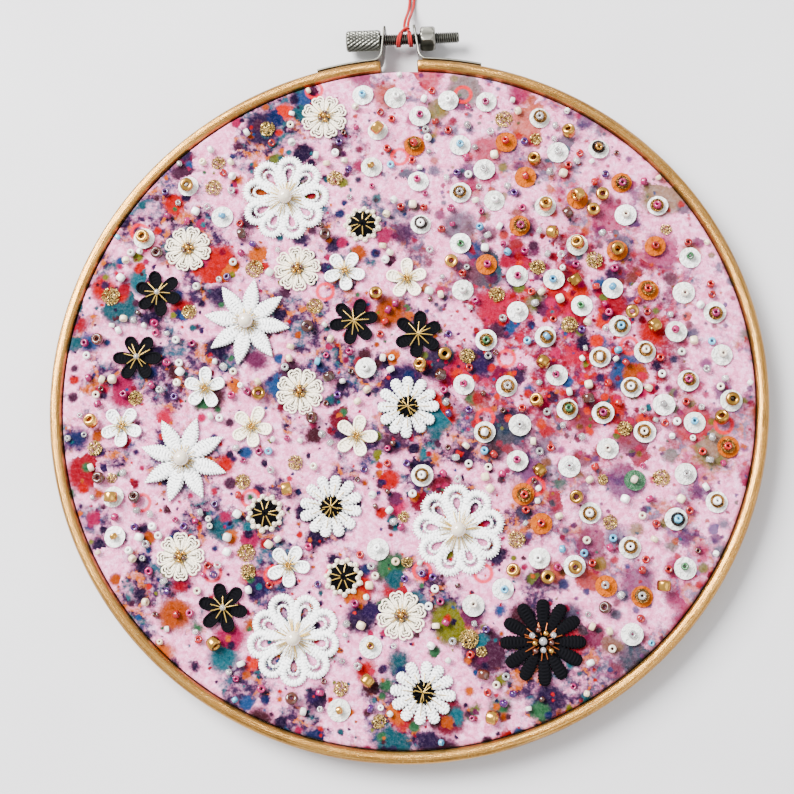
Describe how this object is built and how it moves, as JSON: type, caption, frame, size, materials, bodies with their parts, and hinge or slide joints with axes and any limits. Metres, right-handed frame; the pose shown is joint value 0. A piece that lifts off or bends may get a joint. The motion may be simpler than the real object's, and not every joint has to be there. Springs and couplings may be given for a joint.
{
  "type": "hoop embroidery art in a wooden embroidery hoop",
  "caption": "Round felt panel with lace flowers, sequins and beads, stretched in a gold-painted wooden hoop with a screw clamp and a hanging thread.",
  "frame": {"origin": "under the middle of the hoop and its clamp, on the surface that the hoop's back lies on", "axes": "+Z out of the felt's face, +Y towards the screw, +X to the right seen from the front"},
  "size_m": [0.203, 0.2632, 0.0137],
  "materials": {
    "gold_wood": "antique gold paint brushed over wood, satin",
    "bare_wood": "bare sanded wood",
    "felt": "soft pale pink felt with splashes of dye",
    "steel": "nickel plated, slightly tarnished",
    "coral_thread": "plied cotton thread",
    "white_lace": "white satin-stitched lace",
    "cream_lace": "cream satin-stitched lace",
    "black_lace": "black satin-stitched lace",
    "white_sequin": "pearly white",
    "orange_sequin": "matt neon orange",
    "gold_bead": "antique gold plated beads and cups, polished",
    "glass_bead": "glossy glass seed beads in coral, pink, purple, garnet, aqua, white and clear",
    "pearl": "pearl lustre",
    "gold_thread": "champagne metallic thread and glitter"
  },
  "bodies": {
    "root": {"bracket_left": "steel", "bracket_right": "steel", "clamp_screw": "steel", "daisy_1": "white_lace", "daisy_2": "white_lace", "daisy_3": "white_lace", "dark_daisy_1": "black_lace", "dark_flower_1": "black_lace", "dark_flower_2": "black_lace", "dark_flower_3": "black_lace", "dark_flower_4": "black_lace", "dark_flower_5": "black_lace", "felt": "felt", "hanging_thread": "coral_thread", "hex_nut": "steel", "inner_ring": "bare_wood", "knot_pad_1": "black_lace", "knot_pad_2": "black_lace", "knot_pad_3": "black_lace", "loop_flower_1": "white_lace", "loop_flower_2": "white_lace", "loop_flower_3": "white_lace", "orange_stack_1": "orange_sequin", "orange_stack_2": "orange_sequin", "orange_stack_3": "orange_sequin", "orange_stack_4": "orange_sequin", "outer_ring": "gold_wood", "scallop_1": "cream_lace", "scallop_2": "cream_lace", "scallop_3": "cream_lace", "scallop_4": "cream_lace", "scallop_5": "cream_lace", "scallop_6": "cream_lace", "small_flower_1": "white_lace", "small_flower_2": "white_lace", "small_flower_3": "white_lace", "small_flower_4": "white_lace", "small_flower_5": "white_lace", "small_flower_6": "white_lace", "small_flower_7": "white_lace", "star_flower_1": "white_lace", "star_flower_2": "white_lace", "thread_hitch": "coral_thread", "white_stack_1": "white_sequin", "white_stack_2": "white_sequin", "white_stack_3": "white_sequin", "white_stack_4": "white_sequin", "white_stack_5": "white_sequin", "white_stack_6": "white_sequin", "white_stack_7": "white_sequin", "white_stack_8": "white_sequin"}
  },
  "joints": []
}
